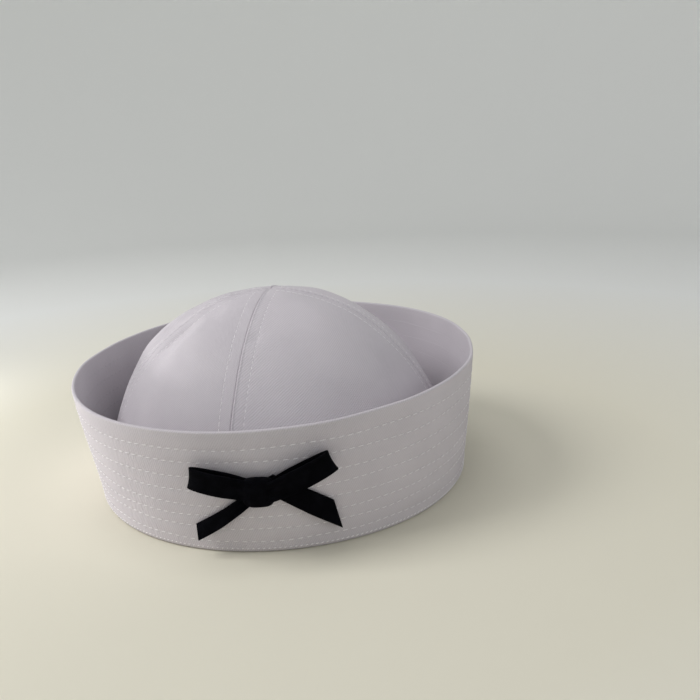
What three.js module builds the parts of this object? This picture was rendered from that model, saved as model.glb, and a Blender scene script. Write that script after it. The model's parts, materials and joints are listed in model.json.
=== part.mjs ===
// Sailor cap: four crown panels, a tall turned-up brim and a velvet ribbon bow.
// Millimetres, +Z up. The bow faces -Y, and the cap stands on the fold of its brim at Z = 0.
// Azimuths are in degrees round the cap from the front, positive towards +X.
import * as THREE from 'three';
import { mergeVertices } from 'three/addons/utils/BufferGeometryUtils.js';

// Crown
const CROWN_RADIUS = 90.6;
const CROWN_HEIGHT = 92;
const CROWN_WALL = 1.2;
const CROWN_RISE_POWER = 1.57;
const CROWN_ROUND_POWER = 2.15;
const PANEL_PUFF = 1.4;

// Each crown panel runs from its own seam to the next one.
const PANELS = [
  { name: 'front_right', seam: -10.5 },
  { name: 'back_right', seam: 80 },
  { name: 'back_left', seam: 172 },
  { name: 'front_left', seam: 288 },
];

// Brim
const BRIM_HEIGHT = 60;
const BRIM_BASE_RADIUS = 94;
const BRIM_FLARE = 4.7;
const BRIM_FOOT_WALL = 2.6;
const BRIM_RIM_WALL = 1.6;
const BRIM_RISE_BACK = 4.5;
const BRIM_RISE_RIGHT = 2.5;
const FOLD_ROUNDING = 1.6;
const FOLD_REACH = 6;
const FOLD_WALL = 1.2;

// Where the cap's foot is pressed in. The press fades out towards the rim.
const FOOT_PRESS = { azimuth: -80, spread: 48, depth: 4.2 };

// Bow
const BOW_HEIGHT = 30.5;
const BOW_ACROSS = -0.7;
const RIBBON_WIDTH = 9.6;
const RIBBON_WALL = 1;
const KNOT_SIZE = { across: 13.6, up: 12.8, out: 6.4 };
const KNOT_DROP = 0.4;
const KNOT_TAPER = 0.07;
const TAIL_LIFT = 0.5;
const LOOP_LIFT = 2;
const LOOP_ROOT_HALF = 1.25;
const LOOP_END_ROUNDING = 1.9;
const LOOP_SLIT_HALF = 0.15;

// Gap kept between neighbouring pieces
const GAP = 0.3;

// Facets
const PANEL_STEPS_ROUND = 14;
const PANEL_STEPS_UP = 14;
const BRIM_STEPS_ROUND = 80;
const BRIM_STEPS_UP = 8;
const FOLD_STEPS = 3;
const RIM_STEPS = 4;
const LOOP_STEPS = 8;
const LOOP_END_STEPS = 5;

// Soft dents in the crown: where they are, how far they spread and how deep they go.
const CROWN_DENTS = [
  { azimuth: -100, height: 65, spread: 26, tall: 16, depth: -3.2 },
  { azimuth: -86, height: 77, spread: 6, tall: 7, depth: 1.5 },
  { azimuth: -59, height: 74, spread: 7, tall: 11, depth: 1.6 },
  { azimuth: -42, height: 84, spread: 14, tall: 6, depth: 1.2 },
  { azimuth: 36, height: 50, spread: 20, tall: 14, depth: 1.0 },
  { azimuth: 128, height: 58, spread: 16, tall: 13, depth: 1.3 },
  { azimuth: -150, height: 44, spread: 18, tall: 16, depth: 1.2 },
];

// Slow waves of the brim's rim: where each wave stands out, how wide it is and how far it goes.
const BRIM_WAVES = [
  { azimuth: -50, spread: 22, out: 0.9 },
  { azimuth: 24, spread: 18, out: -0.7 },
  { azimuth: 75, spread: 20, out: 0.8 },
  { azimuth: 150, spread: 24, out: -0.9 },
  { azimuth: -130, spread: 20, out: -0.6 },
];

// Loops run from the knot to their folded ends, and tails from the knot to their slanted cuts,
// where the lower corner reaches further by slant. start and end are distances from the middle
// of the knot, sideways and up. lift is how far a tail's lower edge stands off at its end.
const LOOPS = [
  { name: 'bow_loop_left', side: -1, start: [7.2, 2.1], end: [25.6, 6], depth: 4.6 },
  { name: 'bow_loop_right', side: 1, start: [7.9, 1.6], end: [27.9, 10.6], depth: 5 },
];
const TAILS = [
  { name: 'bow_tail_left', side: -1, start: [6.2, -6], end: [26.4, -19.8], slant: 2, lift: 4, width: 6 },
  { name: 'bow_tail_right', side: 1, start: [8.8, -0.9], end: [30.6, -15.5], slant: 10, lift: 1, width: 9.4 },
];

const COTTON = { color: 0xf1eff3, roughness: 0.95, metalness: 0 };
const VELVET = { color: 0x14141a, roughness: 0.9, metalness: 0 };

const radians = THREE.MathUtils.degToRad;

// 1 at the middle of a bell, falling off over its spread.
function bell(distance, spread) {
  return Math.exp(-((distance / spread) ** 2));
}

function turnBetween(azimuth, other) {
  return THREE.MathUtils.euclideanModulo(azimuth - other + 180, 360) - 180;
}

// The share by which the foot is pressed in at an azimuth and a height.
function footPress(azimuth, height) {
  const fade = 1 - THREE.MathUtils.smoothstep(height, 0, BRIM_HEIGHT);
  const beside = bell(turnBetween(azimuth, FOOT_PRESS.azimuth), FOOT_PRESS.spread);
  return (FOOT_PRESS.depth / BRIM_BASE_RADIUS) * beside * fade;
}

// The point at a radius and an azimuth, with azimuth 0 on -Y, moved in where the foot is pressed.
function around(radius, azimuth, height) {
  const angle = radians(azimuth);
  const reach = radius * (1 - footPress(azimuth, height));
  return new THREE.Vector3(reach * Math.sin(angle), -reach * Math.cos(angle), height);
}

// The azimuth at which a panel ends, at its neighbour's seam.
function panelEnd(i) {
  return i + 1 < PANELS.length ? PANELS[i + 1].seam : PANELS[0].seam + 360;
}

// How far an azimuth is across its panel, from 0 at one seam to 1 at the next.
function shareOfPanel(azimuth) {
  const first = PANELS[0].seam;
  const turned = first + THREE.MathUtils.euclideanModulo(azimuth - first, 360);
  const i = PANELS.findLastIndex((panel) => panel.seam <= turned);
  return (turned - PANELS[i].seam) / (panelEnd(i) - PANELS[i].seam);
}

// Outside of the crown. climb goes from 0 at the lower edge to 1 at the top.
function crownPoint(azimuth, climb) {
  const turn = (climb * Math.PI) / 2;
  const height = CROWN_HEIGHT * Math.sin(turn) ** (2 / CROWN_RISE_POWER);
  const radius = CROWN_RADIUS * Math.max(Math.cos(turn), 0) ** (2 / CROWN_ROUND_POWER);
  let push = PANEL_PUFF * Math.sin(Math.PI * shareOfPanel(azimuth)) ** 2 * Math.sin(2 * turn);
  const topFade = 1 - climb ** 8;
  for (const dent of CROWN_DENTS) {
    const beside = bell(turnBetween(azimuth, dent.azimuth), dent.spread);
    push -= dent.depth * beside * bell(height - dent.height, dent.tall) * topFade;
  }
  return around(radius + push * Math.cos(turn), azimuth, height + push * Math.sin(turn));
}

// The same point moved in through the wall, square to the surface.
function crownInsidePoint(azimuth, climb) {
  if (climb >= 1) {
    return new THREE.Vector3(0, 0, CROWN_HEIGHT - CROWN_WALL);
  }
  const step = 0.001;
  const along = crownPoint(azimuth + step, climb).sub(crownPoint(azimuth - step, climb));
  const up = crownPoint(azimuth, climb + step).sub(crownPoint(azimuth, Math.max(climb - step, 0)));
  const outward = along.cross(up).normalize();
  const point = crownPoint(azimuth, climb).addScaledVector(outward, -CROWN_WALL);
  point.z = Math.max(point.z, 0);
  return point;
}

function brimTop(azimuth) {
  const angle = radians(azimuth);
  return BRIM_HEIGHT - BRIM_RISE_BACK * Math.cos(angle) + BRIM_RISE_RIGHT * Math.sin(angle);
}

// Outside radius of the brim at an azimuth and a height.
function brimRadius(azimuth, height) {
  const share = height / BRIM_HEIGHT;
  let radius = BRIM_BASE_RADIUS + BRIM_FLARE * share;
  for (const wave of BRIM_WAVES) {
    radius += wave.out * share * bell(turnBetween(azimuth, wave.azimuth), wave.spread);
  }
  return radius;
}

// The brim's thickness, which goes down evenly from its foot to its rim.
function brimWall(azimuth, height) {
  return BRIM_FOOT_WALL + ((BRIM_RIM_WALL - BRIM_FOOT_WALL) * height) / brimTop(azimuth);
}

// Where the crown panels start: just above the part of the fold that turns in under them.
const CROWN_FOOT = FOLD_WALL + GAP;

// A point on the brim's front, from the knot: across to the right, up, and out from the cloth.
function onBrim(across, up, out) {
  const height = BOW_HEIGHT + up;
  const azimuth = THREE.MathUtils.radToDeg((across + BOW_ACROSS) / BRIM_BASE_RADIUS);
  return around(brimRadius(azimuth, height) + out, azimuth, height);
}

// One closed body from rows of points, each row a closed section. closedRound joins the last
// row to the first. Otherwise each end is closed between the two faces of the wall.
function bodyFromRows(rows, closedRound) {
  const width = rows[0].length;
  const positions = rows.flat().flatMap((point) => [point.x, point.y, point.z]);
  const triangles = [];
  const rowCount = closedRound ? rows.length : rows.length - 1;
  for (let row = 0; row < rowCount; row += 1) {
    const here = row * width;
    const next = ((row + 1) % rows.length) * width;
    for (let column = 0; column < width; column += 1) {
      const beside = (column + 1) % width;
      triangles.push(here + column, here + beside, next + beside);
      triangles.push(here + column, next + beside, next + column);
    }
  }
  if (!closedRound) {
    const last = (rows.length - 1) * width;
    for (let column = 1; column < width / 2; column += 1) {
      const across = width - 1 - column;
      triangles.push(...endQuad(0, column, across, width, false));
      triangles.push(...endQuad(last, column, across, width, true));
    }
  }
  return closedGeometry(positions, triangles);
}

// Two triangles of a strip that closes the end of a body, between the two faces of its wall.
function endQuad(start, column, across, width, last) {
  const near = start + column - 1;
  const nearAcross = start + across + 1;
  const far = start + column;
  const farAcross = start + across;
  const faces = [near, nearAcross, farAcross, near, farAcross, far];
  return last ? faces.reverse() : faces;
}

// Joins equal points and drops the triangles that have no area.
function closedGeometry(positions, triangles) {
  const geometry = new THREE.BufferGeometry();
  geometry.setAttribute('position', new THREE.Float32BufferAttribute(positions, 3));
  geometry.setIndex(triangles);
  const merged = mergeVertices(geometry, 1e-4);
  const index = merged.getIndex().array;
  const kept = [];
  for (let i = 0; i < index.length; i += 3) {
    const [a, b, c] = [index[i], index[i + 1], index[i + 2]];
    if (a !== b && b !== c && c !== a) {
      kept.push(a, b, c);
    }
  }
  merged.setIndex(kept);
  return facingOut(merged);
}

function piece(name, geometry, finish) {
  const mesh = new THREE.Mesh(geometry, new THREE.MeshStandardMaterial(finish));
  mesh.name = name;
  return mesh;
}

// One panel of the crown, moved away from its neighbours by half of the seam's gap.
function crownPanel({ name, seam }, order) {
  const sweep = panelEnd(order) - seam;
  const middle = around(1, seam + sweep / 2, 0).normalize();
  const shift = middle.multiplyScalar(GAP / 2 / Math.sin(radians(sweep / 2)));
  const climbStart = (2 / Math.PI) * Math.asin((CROWN_FOOT / CROWN_HEIGHT) ** (CROWN_RISE_POWER / 2));
  const rows = [];
  for (let i = 0; i <= PANEL_STEPS_ROUND; i += 1) {
    const azimuth = seam + (sweep * i) / PANEL_STEPS_ROUND;
    const outside = [];
    const inside = [];
    for (let j = 0; j <= PANEL_STEPS_UP; j += 1) {
      const climb = climbStart + ((1 - climbStart) * j) / PANEL_STEPS_UP;
      outside.push(crownPoint(azimuth, climb).add(shift));
      inside.push(crownInsidePoint(azimuth, climb).add(shift));
    }
    inside[0].z = CROWN_FOOT;
    outside[0].z = CROWN_FOOT;
    rows.push([...outside, ...inside.reverse()]);
  }
  return piece(`crown_panel_${name}`, bodyFromRows(rows, false), COTTON);
}

// The brim's section at one azimuth: up the outside, over the rim, down the inside, along the
// part of the fold under the crown, and back over the flat that the cap stands on.
function brimSection(azimuth) {
  const top = brimTop(azimuth);
  const rimHalf = BRIM_RIM_WALL / 2;
  const section = [];
  const outside = (height) => brimRadius(azimuth, height);
  const add = (radius, height) => section.push(around(radius, azimuth, height));
  for (let i = 0; i <= FOLD_STEPS; i += 1) {
    const turn = (Math.PI / 2) * (i / FOLD_STEPS);
    const height = FOLD_ROUNDING * (1 - Math.cos(turn));
    add(BRIM_BASE_RADIUS - FOLD_ROUNDING * (1 - Math.sin(turn)), height);
  }
  for (let i = 1; i <= BRIM_STEPS_UP; i += 1) {
    const height = FOLD_ROUNDING + ((top - rimHalf - FOLD_ROUNDING) * i) / BRIM_STEPS_UP;
    add(outside(height), height);
  }
  const rimRadius = outside(top) - rimHalf;
  for (let i = 1; i < RIM_STEPS; i += 1) {
    const turn = (Math.PI * i) / RIM_STEPS;
    add(rimRadius + rimHalf * Math.cos(turn), top - rimHalf * (1 - Math.sin(turn)));
  }
  for (let i = BRIM_STEPS_UP; i >= 0; i -= 1) {
    const height = FOLD_WALL + ((top - rimHalf - FOLD_WALL) * i) / BRIM_STEPS_UP;
    add(outside(height) - brimWall(azimuth, height), height);
  }
  const foldEdge = BRIM_BASE_RADIUS - FOLD_REACH;
  add(foldEdge, FOLD_WALL);
  add(foldEdge, 0);
  return section;
}

function brim() {
  const rows = [];
  for (let i = 0; i < BRIM_STEPS_ROUND; i += 1) {
    rows.push(brimSection((360 * i) / BRIM_STEPS_ROUND));
  }
  return piece('brim', bodyFromRows(rows, true), COTTON);
}

// The line of a loop or tail over the brim: its length, its direction and the one across it.
function course({ start, end }) {
  const run = new THREE.Vector2(...end).sub(new THREE.Vector2(...start));
  const length = run.length();
  const along = run.normalize();
  return { start, length, along, cross: new THREE.Vector2(-along.y, along.x) };
}

// The point a distance along that line and another across it, sideways and up from the knot.
function onCourse({ start, along, cross }, reach, sideways) {
  return [
    start[0] + along.x * reach + cross.x * sideways,
    start[1] + along.y * reach + cross.y * sideways,
  ];
}

// Outline of a loop seen from above, in lengths along the loop and out from the brim. It is
// narrow at the knot and widest past its middle. inset moves it in from the outer face.
function loopOutline(length, depth, inset) {
  const straight = length - LOOP_END_ROUNDING;
  const begin = inset * 2.5;
  const middle = depth / 2;
  const run = (i) => begin + ((straight - begin) * i) / LOOP_STEPS;
  const half = (reach) => {
    const belly = Math.sin(Math.PI * Math.min((reach / length) * 0.8 + 0.05, 1)) ** 1.2;
    return Math.max(LOOP_ROOT_HALF + (middle - LOOP_ROOT_HALF) * belly - inset, LOOP_SLIT_HALF);
  };
  const points = [];
  for (let i = 0; i <= LOOP_STEPS; i += 1) {
    points.push(new THREE.Vector2(run(i), middle - half(run(i))));
  }
  for (let i = 1; i < LOOP_END_STEPS; i += 1) {
    const turn = -Math.PI / 2 + (Math.PI * i) / LOOP_END_STEPS;
    const reach = straight + (LOOP_END_ROUNDING - inset) * Math.cos(turn);
    points.push(new THREE.Vector2(reach, middle + half(straight) * Math.sin(turn)));
  }
  for (let i = LOOP_STEPS; i >= 0; i -= 1) {
    points.push(new THREE.Vector2(run(i), middle + half(run(i))));
  }
  return points;
}

// A ribbon loop: the band between two outlines, as wide as the ribbon and pinched at the knot.
function bowLoop(loop) {
  const line = course(loop);
  const shape = new THREE.Shape(loopOutline(line.length, loop.depth, 0));
  shape.holes.push(new THREE.Path(loopOutline(line.length, loop.depth, RIBBON_WALL)));
  const geometry = new THREE.ExtrudeGeometry(shape, { depth: 1, steps: 2, bevelEnabled: false });
  return piece(loop.name, onBrimGeometry(geometry, loop.side, (reach, out, share) => {
    const width = RIBBON_WIDTH * (0.86 + 0.14 * Math.min((reach / line.length) * 2.5, 1));
    return [...onCourse(line, reach, width * (share - 0.5)), LOOP_LIFT + out];
  }), VELVET);
}

// A ribbon tail: a strip that lies on the brim, with its lower edge standing off by its lift.
function bowTail(tail) {
  const line = course(tail);
  const geometry = new THREE.BoxGeometry(1, 1, 1, 8, 3, 1).translate(0.5, 0.5, 0.5);
  return piece(tail.name, onBrimGeometry(geometry, tail.side, (share, over, out) => {
    const width = tail.width * (0.88 + 0.12 * Math.min(share * 2, 1));
    const reach = share * (line.length + tail.slant * (0.5 - over));
    const standing = TAIL_LIFT + tail.lift * share * (1 - over);
    return [...onCourse(line, reach, width * (over - 0.5)), standing + RIBBON_WALL * out];
  }), VELVET);
}

// Moves each vertex of a unit solid to its place on the brim. A left-hand piece is mirrored.
function onBrimGeometry(geometry, side, place) {
  geometry.deleteAttribute('normal');
  geometry.deleteAttribute('uv');
  const merged = mergeVertices(geometry, 1e-4);
  const position = merged.getAttribute('position');
  for (let i = 0; i < position.count; i += 1) {
    const [across, up, out] = place(position.getX(i), position.getY(i), position.getZ(i));
    const point = onBrim(side * across, up, out);
    position.setXYZ(i, point.x, point.y, point.z);
  }
  return facingOut(merged);
}

// Turns the triangles round if the body came out with its faces pointing in.
function facingOut(geometry) {
  const index = geometry.getIndex().array;
  const position = geometry.getAttribute('position');
  const corner = (i) => new THREE.Vector3().fromBufferAttribute(position, index[i]);
  let volume = 0;
  for (let i = 0; i < index.length; i += 3) {
    volume += corner(i).dot(corner(i + 1).cross(corner(i + 2)));
  }
  if (volume < 0) {
    geometry.setIndex(Array.from(index).reverse());
  }
  geometry.computeVertexNormals();
  return geometry;
}

// The knot: a rounded pillow, squarer across than it is deep, and narrower towards its foot.
function bowKnot() {
  const geometry = new THREE.SphereGeometry(1, 20, 12);
  const square = (value) => Math.sign(value) * Math.abs(value) ** 0.62;
  const middle = KNOT_SIZE.out / 2 + TAIL_LIFT;
  return piece('bow_knot', onBrimGeometry(geometry, 1, (x, y, z) => [
    (KNOT_SIZE.across / 2) * square(x) * (1 - KNOT_TAPER * (1 - square(y))),
    (KNOT_SIZE.up / 2) * square(y) - KNOT_DROP,
    middle + (KNOT_SIZE.out / 2) * square(z),
  ]), VELVET);
}

const cap = new THREE.Group();
cap.add(...PANELS.map(crownPanel), brim());
cap.add(bowKnot(), ...LOOPS.map(bowLoop), ...TAILS.map(bowTail));

// The origin is the middle of the floor that the whole cap, bow included, stands over.
const middle = new THREE.Box3().setFromObject(cap, true).getCenter(new THREE.Vector3());
cap.position.set(-middle.x, -middle.y, 0);

export default cap;
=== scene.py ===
"""Sailor cap in white cotton twill with a black velvet bow, in metres and +Z up.

The cap's cloth is worked out on grids round the cap's axis: azimuth is measured in
radians from the front (-Y), positive towards +X, and climb goes from 0 at the crown's
lower edge to 1 at its top.
"""
import json
import math

import bmesh
import bpy
import numpy as np
from mathutils import Matrix, Vector


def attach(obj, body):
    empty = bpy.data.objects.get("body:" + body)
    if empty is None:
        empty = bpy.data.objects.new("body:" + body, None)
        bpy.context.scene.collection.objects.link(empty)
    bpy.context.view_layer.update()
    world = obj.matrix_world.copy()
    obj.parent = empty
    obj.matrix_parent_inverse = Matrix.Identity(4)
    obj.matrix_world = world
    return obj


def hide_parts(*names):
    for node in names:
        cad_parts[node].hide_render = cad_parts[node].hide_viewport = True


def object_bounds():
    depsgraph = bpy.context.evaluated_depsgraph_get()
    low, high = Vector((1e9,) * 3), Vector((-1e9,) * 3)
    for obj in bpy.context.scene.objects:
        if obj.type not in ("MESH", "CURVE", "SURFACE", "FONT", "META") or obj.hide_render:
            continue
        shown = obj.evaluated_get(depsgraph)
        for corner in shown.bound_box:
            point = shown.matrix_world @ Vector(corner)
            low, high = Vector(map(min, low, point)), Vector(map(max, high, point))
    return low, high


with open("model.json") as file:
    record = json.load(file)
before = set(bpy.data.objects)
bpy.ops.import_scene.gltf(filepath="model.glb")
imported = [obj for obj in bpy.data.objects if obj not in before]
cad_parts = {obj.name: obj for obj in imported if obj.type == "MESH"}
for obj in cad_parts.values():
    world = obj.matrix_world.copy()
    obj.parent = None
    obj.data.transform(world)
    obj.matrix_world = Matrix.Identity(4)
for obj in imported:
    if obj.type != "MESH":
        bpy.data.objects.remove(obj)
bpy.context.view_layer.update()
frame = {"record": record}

MM = 0.001

# Crown panels, each from its own seam to the next one, and how far the wales of its cloth are
# turned from those of the first one, in degrees
PANELS = (
    dict(name="front_right", seam=-10.5, grain=0),
    dict(name="back_right", seam=80, grain=4),
    dict(name="back_left", seam=172, grain=-5),
    dict(name="front_left", seam=288, grain=17),
)
SEAMS = np.radians([panel["seam"] for panel in PANELS])
SWEEPS = np.diff(SEAMS, append=SEAMS[0] + 2 * math.pi)

# Crown
CROWN_RADIUS = 90.6 * MM
CROWN_WALL = 1.2 * MM
CROWN_RISE_POWER = 1.57
CROWN_ROUND_POWER = 2.15
PANEL_PUFF = 1.4 * MM
CROWN_FOOT = 1.5 * MM
REST_RADIUS = 90 * MM

# Brim
BRIM_HEIGHT = 60 * MM
BRIM_BASE_RADIUS = 94 * MM
BRIM_FLARE = 4.7 * MM
BRIM_FOOT_WALL = 2.6 * MM
BRIM_RIM_WALL = 1.6 * MM
BRIM_RISE_BACK = 4.5 * MM
BRIM_RISE_RIGHT = 2.5 * MM
FOLD_ROUNDING = 1.6 * MM
FOLD_REACH = 6 * MM
FOLD_WALL = 1.2 * MM

# Where the cap's foot is pressed in. The press fades out towards the rim.
FOOT_PRESS = dict(azimuth=-80, spread=48, depth=4.2)

# Stitching. A dash is the part of a stitch's pitch that its thread covers.
SEAM_STITCH_OFFSET = 5.5 * MM
SEAM_STITCH_PITCH = 2.9 * MM
BRIM_ROW_SHARES = (0.144, 0.252, 0.381, 0.490, 0.605, 0.698, 0.792, 0.900)
BRIM_STITCHES_ROUND = 154
BRIM_STEPS_PER_STITCH = 6
BRIM_PITCH = 2 * math.pi * BRIM_BASE_RADIUS / BRIM_STITCHES_ROUND
FOLD_STITCHES_ROUND = 268
THREAD_DASH = 0.70
SEAM_DASHES = {-1: 0.88, 1: 0.62}
THREAD_RADIUS = 0.19 * MM

# Where the brim's threads lie deeper in the cloth: azimuth and spread in degrees, depth in mm.
THREADS_SUNK = dict(azimuth=-12, spread=26, depth=0.2)

# Bow
BOW_HEIGHT = 30.5 * MM
BOW_ACROSS = -0.7 * MM
RIBBON_WIDTH = 9.6 * MM
RIBBON_WALL = 0.9 * MM
KNOT_HALF = (7.3 * MM, 6.4 * MM, 3.2 * MM)
KNOT_DROP = 0.4 * MM
KNOT_OUT = 3.6 * MM
KNOT_TAPER = 0.07
LOOP_LIFT = 2 * MM
TAIL_LIFT = 0.5 * MM

# Twill
WALE_PITCH = 0.84 * MM
CROWN_WALE_ANGLE = math.radians(36)
BRIM_WALE_ANGLE = math.radians(60)

# Floor and wall
FLOOR_RADIUS = 0.9
FLOOR_BEND = 0.5
WALL_TOP = 1.7
FLOOR_COLOUR = (0.80, 0.77, 0.65, 1)
WALL_COLOUR = (0.92, 0.93, 0.91, 1)

# Camera, from the cap's axis on the floor
CAMERA_PLACE = (38.2 * MM, -389.9 * MM, 167 * MM)
CAMERA_PITCH = math.radians(15.5)
CAMERA_ROLL = math.radians(-2.8)
CAMERA_LENS = 41.14

# Lights: place from a point 40 mm above the axis's foot, size in m and power in W
LIGHTS = (
    dict(name="overhead", place=(-0.15, 0.05, 1.2), size=(0.6, 0.6), power=2.5,
         colour=(1.0, 0.99, 0.985)),
    dict(name="left", place=(-0.7, -0.1, 0.75), size=(0.5, 0.5), power=4.9,
         colour=(1.0, 0.99, 0.985)),
    dict(name="key", place=(-0.30, 0.02, -0.024), size=(0.28, 0.03), power=0.34,
         colour=(1.0, 0.99, 0.985)),
    dict(name="fill", place=(0.75, -0.45, 0.5), size=(0.4, 0.4), power=1.1,
         colour=(0.96, 0.97, 1.0)),
)
LIGHT_TARGET_HEIGHT = 0.04
SKY_COLOUR = (0.93, 0.95, 1.0, 1)
SKY_STRENGTH = 0.2

# Soft dents in the crown: azimuth in degrees, height, spread in degrees, tallness and depth in mm.
# A negative depth swells out.
CROWN_DENTS = (
    dict(azimuth=-100, height=65, spread=26, tall=16, depth=-3.2),
    dict(azimuth=-86, height=77, spread=6, tall=7, depth=1.5),
    dict(azimuth=-59, height=74, spread=7, tall=11, depth=1.6),
    dict(azimuth=-42, height=84, spread=14, tall=6, depth=1.2),
    dict(azimuth=36, height=50, spread=20, tall=14, depth=1.0),
    dict(azimuth=128, height=58, spread=16, tall=13, depth=1.3),
    dict(azimuth=-150, height=44, spread=18, tall=16, depth=1.2),
    dict(azimuth=-4.5, height=79, spread=3.5, tall=2.2, depth=0.9),
    dict(azimuth=-65, height=76, spread=2.8, tall=9, depth=0.9),
    dict(azimuth=-80, height=74, spread=3.2, tall=8, depth=1.1),
    dict(azimuth=-50, height=86, spread=6, tall=2.4, depth=0.7),
)
# Slow waves of the rim: azimuth and spread in degrees, and how far they stand out in mm.
BRIM_WAVES = (
    dict(azimuth=-50, spread=22, out=0.9),
    dict(azimuth=24, spread=18, out=-0.7),
    dict(azimuth=75, spread=20, out=0.8),
    dict(azimuth=150, spread=24, out=-0.9),
    dict(azimuth=-130, spread=20, out=-0.6),
)


def cap_axis():
    """Where the cap's axis stands on the floor: straight behind the point that the cap rests on."""
    rest = np.array(frame["record"]["mounts"][0]["pos_m"])
    return rest + (0, REST_RADIUS, 0)


AXIS = cap_axis()
CROWN_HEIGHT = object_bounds()[1][2]


# ---------------------------------------------------------------- shapes shared by pieces

def bell(distance, spread):
    """1 in the middle, falling to 1/e at the spread."""
    return np.exp(-(distance / spread) ** 2)


def smooth_step(value, low, high):
    """0 below low, 1 above high, and a smooth cubic between."""
    share = np.clip((value - low) / (high - low), 0, 1)
    return share * share * (3 - 2 * share)


def turn_between(azimuth, other):
    """Signed angle from other to azimuth, the short way round."""
    return (azimuth - other + math.pi) % (2 * math.pi) - math.pi


def ripple(points, wavelength, seed, waves=7):
    """Sum of plane sine waves in random directions, about one unit high, seeded."""
    draw = np.random.default_rng(seed)
    directions = draw.normal(size=(waves, 3))
    directions /= np.linalg.norm(directions, axis=1, keepdims=True)
    lengths = wavelength * draw.uniform(0.7, 1.5, waves)
    phases = draw.uniform(0, 2 * math.pi, waves)
    angles = points @ (directions / lengths[:, None]).T * 2 * math.pi + phases
    return np.sin(angles).sum(axis=-1) / math.sqrt(waves)


def around(radius, azimuth, height):
    """Point at a radius and azimuth from the cap's axis, moved in where the foot is pressed."""
    radius, azimuth, height = np.broadcast_arrays(radius, azimuth, height)
    beside = np.degrees(turn_between(azimuth, math.radians(FOOT_PRESS["azimuth"])))
    press = FOOT_PRESS["depth"] * MM / BRIM_BASE_RADIUS * bell(beside, FOOT_PRESS["spread"])
    radius = radius * (1 - press * (1 - smooth_step(height, 0, BRIM_HEIGHT)))
    x = AXIS[0] + radius * np.sin(azimuth)
    y = AXIS[1] - radius * np.cos(azimuth)
    return np.stack([x, y, height], axis=-1)


def unit(vectors):
    """Each vector at length 1."""
    return vectors / np.linalg.norm(vectors, axis=-1, keepdims=True)


def grid_normals(points):
    """Cross product of the differences along the first and second direction of a grid."""
    return unit(np.cross(np.gradient(points, axis=0), np.gradient(points, axis=1)))


def finish_piece(name, vertices, faces, uv, material, replaces=()):
    """Mesh object from arrays, closed, smooth, riding on the cap's one body."""
    mesh = bpy.data.meshes.new(name)
    mesh.from_pydata(vertices.reshape(-1, 3).tolist(), [], faces.tolist())
    layer = mesh.uv_layers.new(name="cloth")
    layer.data.foreach_set("uv", np.ascontiguousarray(uv, dtype=np.float32).ravel())
    work = bmesh.new()
    work.from_mesh(mesh)
    bmesh.ops.remove_doubles(work, verts=work.verts, dist=1e-7)
    bmesh.ops.recalc_face_normals(work, faces=work.faces)
    work.to_mesh(mesh)
    work.free()
    mesh.polygons.foreach_set("use_smooth", np.ones(len(mesh.polygons), dtype=bool))
    mesh.materials.append(material)
    piece = bpy.data.objects.new(name, mesh)
    bpy.context.scene.collection.objects.link(piece)
    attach(piece, "root")
    if replaces:
        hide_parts(*replaces)
    return piece


def section_faces(rows, columns, wrap):
    """Quads between rows of closed sections, as indices and as row and column of each corner."""
    row = np.arange(rows if wrap else rows - 1)[:, None]
    column = np.arange(columns)[None, :]
    row, column = np.broadcast_arrays(row, column)
    corner_rows = np.stack([row, row, row + 1, row + 1], axis=-1).reshape(-1, 4)
    corner_columns = np.stack([column, column + 1, column + 1, column], axis=-1).reshape(-1, 4)
    faces = (corner_rows % rows) * columns + corner_columns % columns
    return faces, corner_rows, corner_columns


def wall_piece(name, outside, inside, cloth_u, cloth_v, material, replaces=()):
    """Closed wall between two grids of the same size. cloth_u and cloth_v are the distances
    along the cloth at each grid point."""
    rows, columns = outside.shape[:2]
    sections = np.concatenate([outside, inside[:, ::-1]], axis=1)
    faces, corner_rows, corner_columns = section_faces(rows, 2 * columns, False)
    u = np.concatenate([cloth_u, cloth_u[:, ::-1]], axis=1)
    v = np.concatenate([cloth_v, cloth_v[:, ::-1]], axis=1)
    wrapped = corner_columns % (2 * columns)
    uv = [np.stack([u[corner_rows, wrapped], v[corner_rows, wrapped]], axis=-1).reshape(-1, 2)]
    low = np.arange(columns - 1)
    ends = []
    for row, flip in ((0, False), (rows - 1, True)):
        start = row * 2 * columns
        across = 2 * columns - 1 - low
        strip = np.stack([start + low, start + across, start + across - 1, start + low + 1], 1)
        ends.append(strip[:, ::-1] if flip else strip)
    ends = np.concatenate(ends)
    faces = np.concatenate([faces, ends])
    end_rows, end_columns = np.divmod(ends.ravel(), 2 * columns)
    uv.append(np.stack([u[end_rows, end_columns], v[end_rows, end_columns]], axis=-1))
    return finish_piece(name, sections, faces, np.concatenate(uv), material, replaces)


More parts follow.
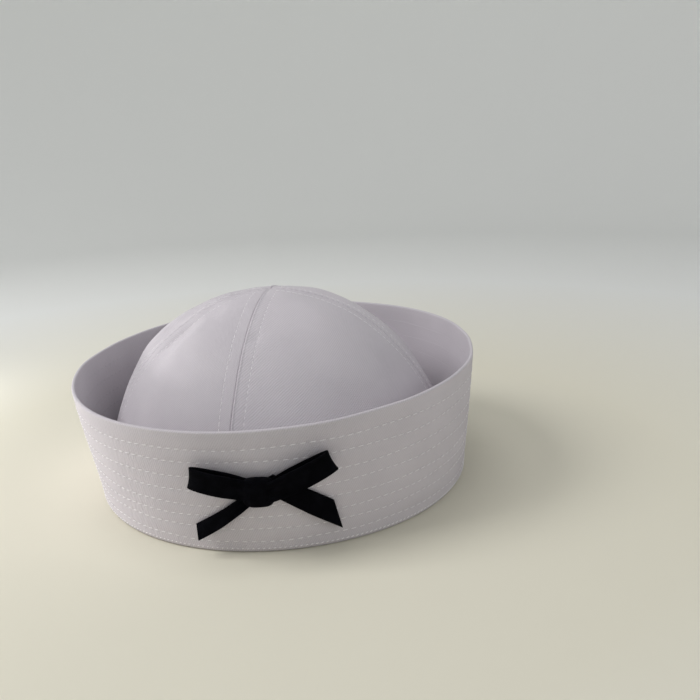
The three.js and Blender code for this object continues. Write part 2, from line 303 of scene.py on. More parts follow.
def stitch_piece(name, starts, ends, normals, material, radius=THREAD_RADIUS, rise=0.2 * MM):
    """Threads from hole to hole. Each is a tube of six sides round a line that rises from its
    hole along the cloth's normal by a sine of its length, and closes at both ends."""
    shares = np.array([0.0, 0.06, 0.2, 0.5, 0.8, 0.94, 1.0])
    swell = np.array([0.0, 0.62, 0.95, 1.0, 0.95, 0.62, 0.0]) * radius
    lift = rise * np.sin(np.pi * shares) ** 0.7 - 0.35 * radius
    turns = np.arange(6) * math.pi / 3
    along = unit(ends - starts)
    normals = unit(normals - (normals * along).sum(-1, keepdims=True) * along)
    side = np.cross(normals, along)
    line = starts[:, None] + (ends - starts)[:, None] * shares[:, None]
    line = line + normals[:, None] * lift[:, None]
    ring = side[:, None] * np.cos(turns)[:, None]
    ring = ring + normals[:, None] * np.sin(turns)[:, None] * 0.8
    points = line[:, :, None] + ring[:, None] * swell[:, None, None]
    count, rings, sides = points.shape[:3]
    ring_index = np.arange(rings - 1)[:, None]
    side_index = np.arange(sides)[None, :]
    corners = np.stack([
        ring_index * sides + side_index,
        ring_index * sides + (side_index + 1) % sides,
        (ring_index + 1) * sides + (side_index + 1) % sides,
        (ring_index + 1) * sides + side_index,
    ], axis=-1).reshape(-1, 4)
    faces = (np.arange(count)[:, None, None] * rings * sides + corners).reshape(-1, 4)
    reach = np.linalg.norm(ends - starts, axis=-1)
    along_uv = np.broadcast_to(shares[None, :, None] * reach[:, None, None], (count, rings, sides))
    turn_uv = np.broadcast_to(turns * radius, (count, rings, sides))
    uv = np.stack([along_uv.reshape(-1)[faces], turn_uv.reshape(-1)[faces]], -1).reshape(-1, 2)
    return finish_piece(name, points, faces, uv, material)


# ---------------------------------------------------------------- crown

def crown_radius(climb):
    """Radius of the plain dome: a cosine of the climb raised to the roundness."""
    return CROWN_RADIUS * np.cos(climb * math.pi / 2).clip(0) ** (2 / CROWN_ROUND_POWER)


def panel_share(azimuth):
    """How far an azimuth is across its panel, from 0 at one seam to 1 at the next."""
    turned = SEAMS[0] + (azimuth - SEAMS[0]) % (2 * math.pi)
    index = np.searchsorted(SEAMS, turned, side="right") - 1
    return (turned - SEAMS[index]) / SWEEPS[index]


def crown_surface(azimuth, climb, extra=0.0):
    """Outside of the crown: the dome, puffed out between seams by a squared sine, pushed in
    by bell-shaped dents, and moved out by extra, all along the dome's slope."""
    turn = climb * math.pi / 2
    height = CROWN_HEIGHT * np.sin(turn).clip(0) ** (2 / CROWN_RISE_POWER)
    puff = PANEL_PUFF * np.sin(math.pi * panel_share(azimuth)) ** 2
    push = puff * np.sin(2 * turn) + extra
    top_fade = 1 - climb ** 8
    for dent in CROWN_DENTS:
        beside = np.degrees(turn_between(azimuth, math.radians(dent["azimuth"])))
        spot = bell(beside, dent["spread"]) * bell(height - dent["height"] * MM, dent["tall"] * MM)
        push = push - dent["depth"] * MM * spot * top_fade
    return around(crown_radius(climb) + push * np.cos(turn), azimuth, height + push * np.sin(turn))


def climb_at(height):
    """Climb at which the plain dome reaches a height."""
    return 2 / math.pi * np.arcsin((height / CROWN_HEIGHT) ** (CROWN_RISE_POWER / 2))


def seam_relief(distance, rise, over):
    """Height of the cloth beside a seam. Where over is 1 the cloth lies over its neighbour with
    a rounded lip, and where it is 0 it goes down under that lip. Both are thicker out to the
    topstitching, with a groove under the threads and puckers round them."""
    lip = 0.36 * MM * over * bell(distance - 0.55 * MM, 0.36 * MM)
    dip = -0.45 * MM * (1 - over) * bell(distance, 0.38 * MM)
    welt = 0.22 * MM * (1 - smooth_step(distance, 0.8 * MM, 7.5 * MM))
    groove = -0.09 * MM * bell(distance - SEAM_STITCH_OFFSET, 0.45 * MM)
    wave = np.sin(rise / (5.3 * MM) * 2 * math.pi + 1.4 * np.sin(rise / (17 * MM)))
    pucker = 0.05 * MM * wave * bell(distance - SEAM_STITCH_OFFSET, 2.6 * MM)
    return lip + dip + welt + groove + pucker


def crown_cloth(azimuth, climb, distance, rise, over, extra=0.0):
    """The crown's surface with its seams' relief and the cloth's slow unevenness, which both
    fade out at the top and where the cloth goes down into the fold of the brim."""
    plain = crown_surface(azimuth, climb)
    uneven = (0.32 * ripple(plain, 46 * MM, 11) + 0.13 * ripple(plain, 17 * MM, 12)) * MM
    fade = smooth_step(crown_radius(climb), 0, 5 * MM) * smooth_step(rise, 2 * MM, 15 * MM)
    relief = seam_relief(distance, rise, over)
    return crown_surface(azimuth, climb, (relief + uneven) * fade + extra)


def crown_panel(index, material):
    """A quarter of the crown. Columns near each seam keep a fixed distance from it, and those
    between are evenly spaced."""
    start, sweep = SEAMS[index], SWEEPS[index]
    edge = np.array([0, 0.15, 0.32, 0.5, 0.75, 1.1, 1.7, 2.6, 3.6, 4.4, 4.9, 5.2, 5.5, 5.8, 6.1,
                     6.5, 7.1, 8.2, 10]) * MM
    climb = np.linspace(float(climb_at(CROWN_FOOT)), 1, 150)
    radius = np.maximum(crown_radius(climb), 0)
    arc = radius * sweep
    shrink = np.minimum(1, arc / (2.4 * edge[-1]))
    near = edge[:, None] * shrink
    middle_share = np.linspace(0, 1, 74)[1:-1, None]
    middle = near[-1] + (arc - 2 * near[-1]) * middle_share
    distance = np.concatenate([near, middle, arc - near[::-1]])
    with np.errstate(invalid="ignore", divide="ignore"):
        share = np.where(arc > 1e-9, distance / arc, 0.5)
    azimuth = start + sweep * share
    climb_grid = np.broadcast_to(climb, azimuth.shape)
    plain = crown_surface(azimuth, climb_grid)
    rise = np.cumsum(np.linalg.norm(np.diff(plain, axis=1, prepend=plain[:, :1]), axis=-1), axis=1)
    nearest = np.minimum(distance, arc - distance)
    over = (distance < arc / 2).astype(float)
    outside = crown_cloth(azimuth, climb_grid, nearest, rise, over)
    outside[:, -1] = outside[:, -1].mean(axis=0)
    inside = plain - CROWN_WALL * grid_normals(plain)
    inside[:, -1] = plain[:, -1] - np.array([0, 0, CROWN_WALL])
    inside[:, 0, 2] = outside[:, 0, 2]
    name, grain = PANELS[index]["name"], math.radians(PANELS[index]["grain"])
    aside = distance - arc / 2
    cloth_u = aside * math.cos(grain) + rise * math.sin(grain)
    cloth_v = rise * math.cos(grain) - aside * math.sin(grain)
    wall_piece(f"crown_cloth_{name}", outside, inside, cloth_u, cloth_v, material,
               (f"crown_panel_{name}",))


def crown_topstitching(material):
    """Two lines of thread beside each seam, from the brim to near the top."""
    starts, ends, normals = [], [], []
    climb = np.linspace(0.02, 0.985, 900)
    for seam in SEAMS:
        for side in (-1, 1):
            azimuth = seam + side * SEAM_STITCH_OFFSET / np.maximum(crown_radius(climb), 5 * MM)
            line = crown_surface(azimuth, climb)
            rise = np.zeros_like(climb)
            rise[1:] = np.cumsum(np.linalg.norm(np.diff(line, axis=0), axis=1))
            holes = np.arange(0, rise[-1], SEAM_STITCH_PITCH)

            def place(shift_azimuth, shift_climb):
                """Cloth surface at each needle hole, moved a little round or up."""
                return crown_cloth(np.interp(holes, rise, azimuth) + shift_azimuth,
                                   np.interp(holes, rise, climb) + shift_climb,
                                   SEAM_STITCH_OFFSET, holes, float(side > 0),
                                   -0.07 * MM if side > 0 else 0.0)

            points = place(0, 0)
            normal = unit(np.cross(place(0.01, 0) - points, place(0, 0.002) - points))
            gap = (1 - SEAM_DASHES[side]) / 2 * (points[1:] - points[:-1])
            starts.append(points[:-1] + gap)
            ends.append(points[1:] - gap)
            normals.append((normal[:-1] + normal[1:]) / 2)
    return stitch_piece("crown_topstitching", np.concatenate(starts), np.concatenate(ends),
                        np.concatenate(normals), material, 0.16 * MM, 0.17 * MM)


# ---------------------------------------------------------------- brim

def brim_top(azimuth):
    """Height of the rim: highest at the back, and a little higher at the right."""
    return BRIM_HEIGHT - BRIM_RISE_BACK * np.cos(azimuth) + BRIM_RISE_RIGHT * np.sin(azimuth)


def brim_radius(azimuth, height):
    """Outside radius: a cone that flares with height, with slow waves that grow with height."""
    share = height / BRIM_HEIGHT
    radius = BRIM_BASE_RADIUS + BRIM_FLARE * share
    for wave in BRIM_WAVES:
        beside = np.degrees(turn_between(azimuth, math.radians(wave["azimuth"])))
        radius = radius + wave["out"] * MM * share * bell(beside, wave["spread"])
    return radius


def brim_wall(azimuth, height):
    """Thickness of the doubled cloth, which goes down evenly from the foot to the rim."""
    return BRIM_FOOT_WALL + (BRIM_RIM_WALL - BRIM_FOOT_WALL) * height / brim_top(azimuth)


def row_height(azimuth, row):
    """Height of one row of stitching: its share of the brim, with a slight wander."""
    wander = 0.35 * MM * np.sin(azimuth * (3 + row % 3) + 1.7 * row)
    wander = wander + 0.2 * MM * np.sin(azimuth * (11 + row) + 2.3 * row)
    return brim_top(azimuth) * (1 - BRIM_ROW_SHARES[row]) + wander


def row_phase(row):
    """Where the first hole of a row is, as a share of a stitch."""
    return (row * row % BRIM_STEPS_PER_STITCH) / BRIM_STEPS_PER_STITCH


def brim_relief(azimuth, height):
    """Quilting of the brim: a shallow groove along each row, a dimple at each needle hole,
    puckers that lean across the rows, and cloth that swells a little between rows."""
    relief = np.zeros(np.broadcast(azimuth, height).shape)
    for row in range(len(BRIM_ROW_SHARES)):
        away = height - row_height(azimuth, row)
        stitch = azimuth * BRIM_STITCHES_ROUND / (2 * math.pi) - row_phase(row)
        beside = ((stitch + 0.5) % 1 - 0.5) * BRIM_PITCH
        relief = relief - 0.07 * MM * bell(away, 0.9 * MM)
        relief = relief - 0.30 * MM * bell(beside, 0.4 * MM) * bell(away, 0.35 * MM)
        lean = stitch + away / (9 * MM)
        relief = relief + 0.045 * MM * np.sin(2 * math.pi * lean) * bell(away, 2.4 * MM)
    return relief


def brim_lines(azimuth, low, high):
    """Heights of the lines of the brim's outside. They follow the rows of stitching, and lie
    close together on both sides of each."""
    rows = [row_height(azimuth, row) for row in reversed(range(len(BRIM_ROW_SHARES)))]
    stops = [low + 0 * azimuth, *rows, high]
    lines = []
    for below, above in zip(stops, stops[1:]):
        middle = (below + above) / 2
        near, apart = 0.4 * MM, 1.1 * MM
        lines += [below, below + near, below + apart, middle, above - apart, above - near]
    return np.concatenate([*lines, high], axis=1)


def brim_face(azimuth, height, side, relief=0.0):
    """Outside of the brim for side 1 and inside for side -1, raised by relief, with the slow
    unevenness that both faces of the cloth share."""
    wall = brim_wall(azimuth, height)
    middle = brim_radius(azimuth, height) - wall / 2
    uneven = 0.3 * MM * ripple(around(middle, azimuth, height), 40 * MM, 21)
    radius = middle + side * (wall / 2 + relief) + uneven * height / BRIM_HEIGHT
    return around(radius, azimuth, height)


def brim_piece(material):
    """The brim's closed section carried round the cap: up the outside, over the rim, down the
    inside and along the fold under the crown."""
    steps = BRIM_STITCHES_ROUND * BRIM_STEPS_PER_STITCH
    azimuth = (np.arange(steps + 1) * 2 * math.pi / steps)[:, None]
    rim_half = BRIM_RIM_WALL / 2
    shoulder = brim_top(azimuth) - rim_half
    foot_turn = np.linspace(0, math.pi / 2, 6)[None, :-1]
    foot = around(BRIM_BASE_RADIUS - FOLD_ROUNDING * (1 - np.sin(foot_turn)), azimuth,
                  FOLD_ROUNDING * (1 - np.cos(foot_turn)))
    outer_height = brim_lines(azimuth, FOLD_ROUNDING, shoulder)
    fade = smooth_step(outer_height, 1 * MM, 4 * MM)
    fade = fade * smooth_step(shoulder - outer_height, 0, 2 * MM)
    outer = brim_face(azimuth, outer_height, 1, brim_relief(azimuth, outer_height) * fade)
    inner_height = FOLD_WALL + (shoulder - FOLD_WALL) * np.linspace(0, 1, 22)[None, :]
    inner = brim_face(azimuth, inner_height, -1)
    edge_turn = np.linspace(0, math.pi, 7)[None, 1:-1, None]
    rim_base = (outer[:, -1:] + inner[:, -1:]) / 2
    rim_reach = (outer[:, -1:] - inner[:, -1:]) / 2
    rim_up = np.array([0, 0, rim_half])
    rim = rim_base + rim_reach * np.cos(edge_turn) + rim_up * np.sin(edge_turn)
    tuck = around(BRIM_BASE_RADIUS - FOLD_REACH, azimuth, np.array([[FOLD_WALL, 0]]))
    section = np.concatenate([foot, outer, rim, inner[:, ::-1], tuck], axis=1)[:-1]
    length = np.cumsum(np.linalg.norm(np.diff(section, axis=1, prepend=section[:, :1]), axis=-1), 1)
    wale_round = WALE_PITCH / math.sin(BRIM_WALE_ANGLE)
    full_turn = round(2 * math.pi * BRIM_BASE_RADIUS / wale_round) * wale_round
    faces, rows, columns = section_faces(steps, section.shape[1], True)
    uv = np.stack([rows / steps * full_turn, length[rows % steps, columns % section.shape[1]]], -1)
    finish_piece("brim_cloth", section, faces, uv.reshape(-1, 2), material, ("brim",))


def row_threads(height_at, count, phase, side, sink, slant):
    """Starts, ends and normals of the threads of one row, which slant across it a little. The
    threads lie deeper in the cloth round the bow."""
    step = 2 * math.pi / count
    hole = (np.arange(count) + phase) * step
    gap = (1 - THREAD_DASH) / 2

    def place(share, rise):
        azimuth = hole + share * step
        beside = np.degrees(turn_between(azimuth, math.radians(THREADS_SUNK["azimuth"])))
        deeper = THREADS_SUNK["depth"] * MM * bell(beside, THREADS_SUNK["spread"]) * (side > 0)
        return brim_face(azimuth, height_at(azimuth) + rise, side, -sink - deeper)

    middle = hole + step / 2
    normal = side * np.stack([np.sin(middle), -np.cos(middle), np.zeros_like(middle)], -1)
    return place(gap, -slant), place(1 - gap, slant), normal


def brim_stitching(name, side, material):
    """Threads in every row, on the outside for side 1 and, drawn deeper into the cloth, on the
    inside for side -1."""
    rows = [row_threads(lambda azimuth, row=row: row_height(azimuth, row), BRIM_STITCHES_ROUND,
                        row_phase(row), side, 0.04 * MM if side > 0 else 0.1 * MM, 0.09 * MM)
            for row in range(len(BRIM_ROW_SHARES))]
    starts, ends, normals = (np.concatenate(part) for part in zip(*rows))
    stitch_piece(name, starts, ends, normals, material)


def fold_stitching(material):
    """Short stitches that close the fold at the foot of the brim."""
    threads = row_threads(lambda azimuth: 2.0 * MM + 0 * azimuth, FOLD_STITCHES_ROUND,
                          0, 1, 0, 0.2 * MM)
    stitch_piece("fold_stitching", *threads, material, 0.26 * MM, 0.16 * MM)


# ---------------------------------------------------------------- bow

def on_brim(across, up, out):
    """Point on the brim's front, from the knot: across to the right, up, and out from the cloth."""
    height = BOW_HEIGHT + up
    azimuth = (across + BOW_ACROSS) / BRIM_BASE_RADIUS
    return around(brim_radius(azimuth, height) + out, azimuth, height)


def ribbon_piece(name, across, up, out, node, material):
    """Ribbon whose middle layer is a grid on the brim. Its two faces stand half the ribbon's
    thickness off it, and the thickness goes down at the woven edges."""
    middle = on_brim(across, up, out)
    edge = np.linspace(-1, 1, middle.shape[1])
    thick = RIBBON_WALL / 2 * (1 - 0.55 * np.abs(edge) ** 8)[None, :, None]
    normals = grid_normals(middle)
    length = np.cumsum(np.linalg.norm(np.diff(middle, axis=0, prepend=middle[:1]), axis=-1), 0)
    spread = np.broadcast_to(edge * RIBBON_WIDTH / 2, length.shape)
    wall_piece(name, middle + normals * thick, middle - normals * thick, length, spread, material,
               (node,))


def course(start, end):
    """Start, length, direction and the direction across, of a line from start to end in mm."""
    start = np.array(start) * MM
    run = np.array(end) * MM - start
    length = np.linalg.norm(run)
    along = run / length
    return start, length, along, np.array([-along[1], along[0]])


def bow_loop(side, start, end, depth, material):
    """Loop of ribbon: out along its line, round the fold at its end and back to the knot. The
    gap between the two layers swells from the knot and closes at the fold, and the ribbon is
    gathered into small pleats where the knot holds it."""
    start, length, along, cross = course(start, end)
    turn = np.linspace(-1, 1, 121)[:, None]
    over = np.sin(np.linspace(-1, 1, 25) * math.pi / 2)[None, :] / 2
    share = 1 - np.abs(turn) ** 1.6
    belly = np.sin(math.pi * np.minimum(share * 0.8 + 0.05, 1)) ** 1.2
    half = (0.9 * MM + (depth / 2 - 1.35 * MM) * belly) * np.sqrt(np.clip(1 - share ** 8, 0, 1))
    gather = (1 - smooth_step(share, 0, 0.45)) * np.cos(over * 5 * math.pi + 0.6 * np.sign(turn))
    out = LOOP_LIFT + depth / 2 + np.sign(turn) * half + 0.38 * MM * gather
    width = RIBBON_WIDTH * (0.80 + 0.20 * np.minimum(share * 2.2, 1) ** 0.7)
    reach = (length + 6 * MM) * share - 6 * MM
    reach = reach + 0.5 * MM * share * (4 * over ** 2 - 0.4)
    across = start[0] + along[0] * reach + cross[0] * width * over
    up = start[1] + along[1] * reach + cross[1] * width * over
    name = "left" if side < 0 else "right"
    ribbon_piece(f"bow_ribbon_loop_{name}", side * across, up, out, f"bow_loop_{name}", material)


def bow_tail(side, start, end, slant, lift, width, sag, material):
    """Tail of ribbon along its line, which sags a little, with its lower edge standing off by
    its lift at the slanted end, where the lower corner reaches further by slant."""
    start, length, along, cross = course(start, end)
    share = np.linspace(-0.3, 1, 90)[:, None]
    over = np.sin(np.linspace(-1, 1, 25) * math.pi / 2)[None, :] / 2
    reach = share * (length - slant * over)
    gather = 1 - smooth_step(share, 0, 0.4)
    wide = width * (0.88 + 0.12 * np.minimum(share.clip(0) * 2, 1)) * over
    wave = 0.28 * MM * (1 + np.sin(share * 6.0 + over * 1.5))
    out = TAIL_LIFT + RIBBON_WALL / 2 + wave * share.clip(0) + lift * share.clip(0) * (0.5 - over)
    out = out + 0.22 * MM * gather * (1 + np.cos(over * 5 * math.pi))
    drop = sag * np.sin(math.pi * share.clip(0))
    across = start[0] + along[0] * reach + cross[0] * (wide - drop)
    up = start[1] + along[1] * reach + cross[1] * (wide - drop)
    name = "left" if side < 0 else "right"
    ribbon_piece(f"bow_ribbon_tail_{name}", side * across, up, out, f"bow_tail_{name}", material)


def bow_knot(material):
    """Ribbon drawn tight round the middle of the bow: a squared pillow with creases that run
    up and down it and fan out a little."""
    longitude = np.linspace(0, 2 * math.pi, 97)[:-1, None]
    latitude = np.linspace(-math.pi / 2, math.pi / 2, 49)[None, :]

    def square(value, power):
        return np.sign(value) * np.abs(value) ** power

    across = square(np.cos(latitude) * np.cos(longitude), 0.62)
    out = square(np.cos(latitude) * np.sin(longitude), 0.7)
    up = square(np.sin(latitude) + 0 * longitude, 0.62)
    crease = np.zeros_like(across)
    for place, depth, fan in ((-0.45, 0.34, 0.2), (0.08, 0.26, -0.12), (0.5, 0.4, 0.15)):
        crease = crease + depth * MM * bell(across - place - fan * up, 0.09)
    shrink = 1 - crease / KNOT_HALF[2] * (out > 0) * out
    pinch = 1 - 0.07 * (1 - up ** 2)
    taper = 1 - KNOT_TAPER * (1 - up)
    points = on_brim(KNOT_HALF[0] * across * pinch * taper, KNOT_HALF[1] * up - KNOT_DROP,
                     KNOT_OUT + KNOT_HALF[2] * out * shrink)
    faces, rows, columns = section_faces(points.shape[0], points.shape[1], True)
    keep = (columns < points.shape[1]).all(axis=1)
    faces, rows, columns = faces[keep], rows[keep], columns[keep]
    uv = np.stack([rows / 96 * 0.034, columns / 48 * 0.02], axis=-1).reshape(-1, 2)
    return finish_piece("bow_ribbon_knot", points, faces, uv, material, ("bow_knot",))


# ---------------------------------------------------------------- materials

def new_group(name, inputs, outputs):
    """Empty shader group with named sockets, and its input and output nodes."""
    group = bpy.data.node_groups.new(name, "ShaderNodeTree")
    for label, kind, value in inputs:
        socket = group.interface.new_socket(name=label, in_out="INPUT", socket_type=kind)
        if value is not None:
            socket.default_value = value
    for label, kind in outputs:
        group.interface.new_socket(name=label, in_out="OUTPUT", socket_type=kind)
    return group, group.nodes.new("NodeGroupInput"), group.nodes.new("NodeGroupOutput")


class Wiring:
    """Short ways to add nodes to one node tree and join them."""

    def __init__(self, tree):
        self.tree = tree

    def put(self, socket, value):
        if isinstance(value, bpy.types.NodeSocket):
            self.tree.links.new(value, socket)
        elif value is not None:
            socket.default_value = value

    def math(self, operation, first, second=None, third=None):
        node = self.tree.nodes.new("ShaderNodeMath")
        node.operation = operation
        for socket, value in zip(node.inputs, (first, second, third)):
            self.put(socket, value)
        return node.outputs[0]

    def noise(self, vector, scale, detail=2.0, roughness=0.5):
        node = self.tree.nodes.new("ShaderNodeTexNoise")
        for label, value in (("Vector", vector), ("Scale", scale), ("Detail", detail),
                             ("Roughness", roughness)):
            self.put(node.inputs[label], value)
        return node.outputs["Fac"]

    def ramp(self, value, low, high, to_low=0.0, to_high=1.0):
        node = self.tree.nodes.new("ShaderNodeMapRange")
        for label, item in (("Value", value), ("From Min", low), ("From Max", high),
                            ("To Min", to_low), ("To Max", to_high)):
            self.put(node.inputs[label], item)
        return node.outputs["Result"]

    def mix(self, factor, first, second):
        node = self.tree.nodes.new("ShaderNodeMix")
        node.data_type = "RGBA"
        self.put(node.inputs[0], factor)
        self.put(node.inputs[6], first)
        self.put(node.inputs[7], second)
        return node.outputs[2]

    def split(self, vector):
        node = self.tree.nodes.new("ShaderNodeSeparateXYZ")
        self.put(node.inputs[0], vector)
        return node.outputs


def twill_group():
    """Diagonal wales: a sine across them, cut into yarns by a second sine that steps along
    each wale, with slubs from stretched noise."""
    group, entry, exit_node = new_group("twill_weave", (
        ("Cloth", "NodeSocketVector", None),
        ("Place", "NodeSocketVector", None),
        ("Pitch", "NodeSocketFloat", WALE_PITCH),
        ("Angle", "NodeSocketFloat", BRIM_WALE_ANGLE),
    ), (("Height", "NodeSocketFloat"), ("ValleyShade", "NodeSocketFloat"), ("Slub", "NodeSocketFloat")))
    wire = Wiring(group)
    u, v, _ = wire.split(entry.outputs["Cloth"])
    wander = wire.noise(entry.outputs["Place"], 260.0, 2.0)
    shift = wire.math("MULTIPLY", wire.math("SUBTRACT", wander, 0.5), 0.9)
    cosine = wire.math("COSINE", entry.outputs["Angle"])
    sine = wire.math("SINE", entry.outputs["Angle"])
    across = wire.math("SUBTRACT", wire.math("MULTIPLY", u, sine), wire.math("MULTIPLY", v, cosine))
    along = wire.math("ADD", wire.math("MULTIPLY", u, cosine), wire.math("MULTIPLY", v, sine))
    turns = wire.math("ADD", wire.math("DIVIDE", across, entry.outputs["Pitch"]), shift)
    wale = wire.math("SINE", wire.math("MULTIPLY", turns, 2 * math.pi))
    wale = wire.ramp(wale, -1.0, 1.0)
    yarn_turns = wire.math("ADD", wire.math("DIVIDE", along, entry.outputs["Pitch"]),
                           wire.math("MULTIPLY", turns, 0.33))
    yarn = wire.ramp(wire.math("SINE", wire.math("MULTIPLY", yarn_turns, 3 * math.pi)), -1.0, 1.0)
    slub = wire.noise(entry.outputs["Place"], 900.0, 3.0, 0.6)
    height = wire.math("ADD", wire.math("MULTIPLY", wale, 0.7), wire.math("MULTIPLY", yarn, 0.22))
    height = wire.math("ADD", height, wire.math("MULTIPLY", slub, 0.35))
    group.links.new(height, exit_node.inputs["Height"])
    # The valley output is 1 in the troughs between wales and masks the painted shade in the cloth's
    # colour
    group.links.new(wire.ramp(wale, 0.45, 0.0), exit_node.inputs["ValleyShade"])
    group.links.new(slub, exit_node.inputs["Slub"])
    return group


def new_material(name):
    """Material with an empty Principled shader, and its wiring."""
    material = bpy.data.materials.new(name)
    material.use_nodes = True
    shader = material.node_tree.nodes["Principled BSDF"]
    return material, shader, Wiring(material.node_tree)


def cotton_twill(name, twill, angle):
    """White cotton: wales and slubs in the bump, painted shade that turns the colour a faint grey
    in the valleys between wales, and slow changes of warmth."""
    material, shader, wire = new_material(name)
    nodes = material.node_tree.nodes
    coordinates = nodes.new("ShaderNodeTexCoord")
    weave = nodes.new("ShaderNodeGroup")
    weave.node_tree = twill
    wire.put(weave.inputs["Cloth"], coordinates.outputs["UV"])
    wire.put(weave.inputs["Place"], coordinates.outputs["Object"])
    wire.put(weave.inputs["Angle"], angle)
    tone = wire.noise(coordinates.outputs["Object"], 38.0, 3.0)
    base = wire.mix(wire.ramp(tone, 0.35, 0.65), (0.62, 0.582, 0.625, 1), (0.66, 0.62, 0.662, 1))
    # painted shade: the colour goes darker grey in the valleys between wales
    shade = wire.mix(wire.math("MULTIPLY", weave.outputs["ValleyShade"], 0.36), base,
                     (0.43, 0.40, 0.435, 1))
    wire.put(shader.inputs["Base Color"], shade)
    wire.put(shader.inputs["Roughness"], wire.ramp(weave.outputs["Slub"], 0.3, 0.7, 0.88, 0.98))
    shader.inputs["Specular IOR Level"].default_value = 0.2
    shader.inputs["Sheen Weight"].default_value = 0.15
    shader.inputs["Sheen Roughness"].default_value = 0.5
    bump = nodes.new("ShaderNodeBump")
    bump.inputs["Strength"].default_value = 0.7
    bump.inputs["Distance"].default_value = 0.18 * MM
    wire.put(bump.inputs["Height"], weave.outputs["Height"])
    wire.put(shader.inputs["Normal"], bump.outputs["Normal"])
    return material


def cotton_thread(name, dark, light):
    """Sewing thread: plies twisted round it as slanting ridges along its length, with painted shade
    that darkens the colour in the grooves between plies.
    """
    material, shader, wire = new_material(name)
    nodes = material.node_tree.nodes
    coordinates = nodes.new("ShaderNodeTexCoord")
    u, v, _ = wire.split(coordinates.outputs["UV"])
    twist = wire.math("ADD", wire.math("DIVIDE", u, 0.9 * MM), wire.math("DIVIDE", v, 1.0 * MM))
    ply = wire.math("SINE", wire.math("MULTIPLY", twist, 2 * math.pi))
    ply = wire.ramp(ply, -1.0, 1.0)
    # painted shade: the colour goes from dark in the grooves between plies to light on their ridges
    wire.put(shader.inputs["Base Color"], wire.mix(ply, dark, light))
    wire.put(shader.inputs["Roughness"], wire.ramp(ply, 0.0, 1.0, 0.8, 0.65))
    bump = nodes.new("ShaderNodeBump")
    bump.inputs["Strength"].default_value = 0.5
    bump.inputs["Distance"].default_value = 0.1 * MM
    wire.put(bump.inputs["Height"], ply)
    wire.put(shader.inputs["Normal"], bump.outputs["Normal"])
    return material


def black_velvet():
    """Black velvet: nearly black with a cool cast, a soft sheen at grazing angles and a pile
    that lies in small patches."""
    material, shader, wire = new_material("black_velvet")
    nodes = material.node_tree.nodes
    coordinates = nodes.new("ShaderNodeTexCoord")
    pile = wire.noise(coordinates.outputs["Object"], 2600.0, 3.0, 0.7)
    patch = wire.noise(coordinates.outputs["Object"], 240.0, 2.0)
    base = wire.mix(wire.ramp(patch, 0.35, 0.65), (0.0012, 0.0012, 0.002, 1),
                    (0.003, 0.003, 0.0045, 1))
    base = wire.mix(wire.ramp(pile, 0.55, 0.8), base, (0.007, 0.007, 0.010, 1))
    wire.put(shader.inputs["Base Color"], base)
    wire.put(shader.inputs["Roughness"], wire.ramp(pile, 0.3, 0.7, 0.85, 1.0))
    shader.inputs["Specular IOR Level"].default_value = 0.03
    shader.inputs["Sheen Weight"].default_value = 0.02
    shader.inputs["Sheen Roughness"].default_value = 0.3
    shader.inputs["Sheen Tint"].default_value = (0.6, 0.62, 0.75, 1)
    bump = nodes.new("ShaderNodeBump")
    bump.inputs["Strength"].default_value = 0.7
    bump.inputs["Distance"].default_value = 0.25 * MM
    wire.put(bump.inputs["Height"], wire.math("ADD", pile, wire.math("MULTIPLY", patch, 0.8)))
    wire.put(shader.inputs["Normal"], bump.outputs["Normal"])
    return material


def studio_floor():
    """Pale matt bowl round the cap: a flat floor that bends up on a quarter round into a wall.
    Its warm colour turns cooler away from the cap."""
    material, shader, wire = new_material("pale_bowl")
    coordinates = material.node_tree.nodes.new("ShaderNodeTexCoord")
    away = material.node_tree.nodes.new("ShaderNodeVectorMath")
    away.operation = "LENGTH"
    wire.put(away.inputs[0], coordinates.outputs["Object"])
    tone = wire.mix(wire.ramp(away.outputs["Value"], 0.2, 0.5), FLOOR_COLOUR, WALL_COLOUR)
    wire.put(shader.inputs["Base Color"], tone)
    shader.inputs["Roughness"].default_value = 0.95
    shader.inputs["Specular IOR Level"].default_value = 0.1
    turn = np.linspace(0, math.pi / 2, 24)
    radius = np.concatenate([[0, 0.1, 0.3, 0.6], FLOOR_RADIUS + FLOOR_BEND * np.sin(turn),
                             [FLOOR_RADIUS + FLOOR_BEND]])[None, :]
    rise = np.concatenate([[0, 0, 0, 0], FLOOR_BEND * (1 - np.cos(turn)), [WALL_TOP]])[None, :]
    sides = np.arange(96)[:, None] * 2 * math.pi / 96
    points = np.stack(np.broadcast_arrays(radius * np.cos(sides), radius * np.sin(sides), rise), -1)
    faces, _, columns = section_faces(points.shape[0], points.shape[1], True)
    faces = faces[(columns < points.shape[1]).all(axis=1)][:, ::-1]
    mesh = bpy.data.meshes.new("bowl")
    mesh.from_pydata(points.reshape(-1, 3).tolist(), [], faces.tolist())
    mesh.polygons.foreach_set("use_smooth", np.ones(len(mesh.polygons), dtype=bool))
    mesh.materials.append(material)
    bowl = bpy.data.objects.new("bowl", mesh)
    bpy.context.scene.collection.objects.link(bowl)


# ---------------------------------------------------------------- camera and light

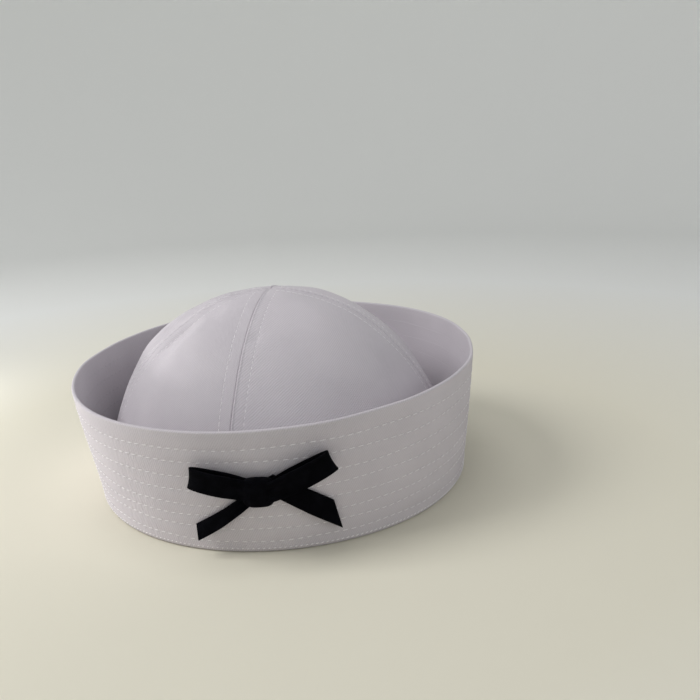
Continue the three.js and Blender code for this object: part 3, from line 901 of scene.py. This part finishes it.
def camera():
    """Camera that looks down at the cap, with its horizon tilted a little."""
    data = bpy.data.cameras.new("camera")
    data.lens = CAMERA_LENS
    data.sensor_width = 36
    data.clip_start = 0.01
    forward = np.array([0, math.cos(CAMERA_PITCH), -math.sin(CAMERA_PITCH)])
    right = np.array([1.0, 0, 0])
    up = np.array([0, math.sin(CAMERA_PITCH), math.cos(CAMERA_PITCH)])
    turn_cos, turn_sin = math.cos(CAMERA_ROLL), math.sin(CAMERA_ROLL)
    columns = np.eye(4)
    columns[:3, 0] = turn_cos * right + turn_sin * up
    columns[:3, 1] = turn_cos * up - turn_sin * right
    columns[:3, 2] = -forward
    columns[:3, 3] = AXIS + np.array(CAMERA_PLACE)
    holder = bpy.data.objects.new("camera", data)
    holder.matrix_world = Matrix(columns.tolist())
    bpy.context.scene.collection.objects.link(holder)
    bpy.context.scene.camera = holder


def area_light(name, place, size, power, colour):
    """Rectangular light at a place, turned to the cap."""
    data = bpy.data.lights.new(name, "AREA")
    data.shape = "RECTANGLE"
    data.size, data.size_y = size
    data.energy = power
    data.color = colour
    light = bpy.data.objects.new(name, data)
    light.visible_camera = False
    target = Vector(AXIS.tolist()) + Vector((0, 0, LIGHT_TARGET_HEIGHT))
    light.location = target + Vector(place)
    light.rotation_euler = (target - light.location).to_track_quat("-Z", "Y").to_euler()
    bpy.context.scene.collection.objects.link(light)


def studio_light():
    """Soft light from above and from the upper left, a low strip on the floor at the left that
    grazes the brim, a weak fill from the right and an even sky."""
    for light in LIGHTS:
        area_light(**light)
    world = bpy.data.worlds.new("studio")
    world.use_nodes = True
    sky = world.node_tree.nodes["Background"]
    sky.inputs["Color"].default_value = SKY_COLOUR
    sky.inputs["Strength"].default_value = SKY_STRENGTH
    bpy.context.scene.world = world
    bpy.context.scene.view_settings.view_transform = "Standard"


# ---------------------------------------------------------------- the cap

camera()
studio_light()
studio_floor()

twill = twill_group()
crown_cotton = cotton_twill("white_cotton_crown", twill, CROWN_WALE_ANGLE)
brim_cotton = cotton_twill("white_cotton_brim", twill, BRIM_WALE_ANGLE)
thread = cotton_thread("white_cotton_thread", (0.84, 0.81, 0.84, 1), (0.97, 0.95, 0.97, 1))
under_thread = cotton_thread("dull_cotton_thread", (0.56, 0.53, 0.565, 1), (0.66, 0.63, 0.665, 1))
velvet = black_velvet()

for panel_index in range(len(PANELS)):
    crown_panel(panel_index, crown_cotton)
crown_topstitching(thread)
brim_piece(brim_cotton)
brim_stitching("brim_stitching_outside", 1, thread)
brim_stitching("brim_stitching_inside", -1, under_thread)
fold_stitching(thread)
bow_loop(-1, (7.0, 2.1), (25.6, 6.0), 4.6 * MM, velvet)
bow_loop(1, (7.7, 1.6), (27.9, 10.6), 5.0 * MM, velvet)
bow_tail(-1, (6.2, -6.0), (26.4, -19.8), 2.0 * MM, 4.0 * MM, 6.0 * MM, 0.6 * MM, velvet)
bow_tail(1, (8.8, -0.9), (30.6, -15.5), 10.0 * MM, 1.0 * MM, 9.4 * MM, 0.0, velvet)
bow_knot(velvet)
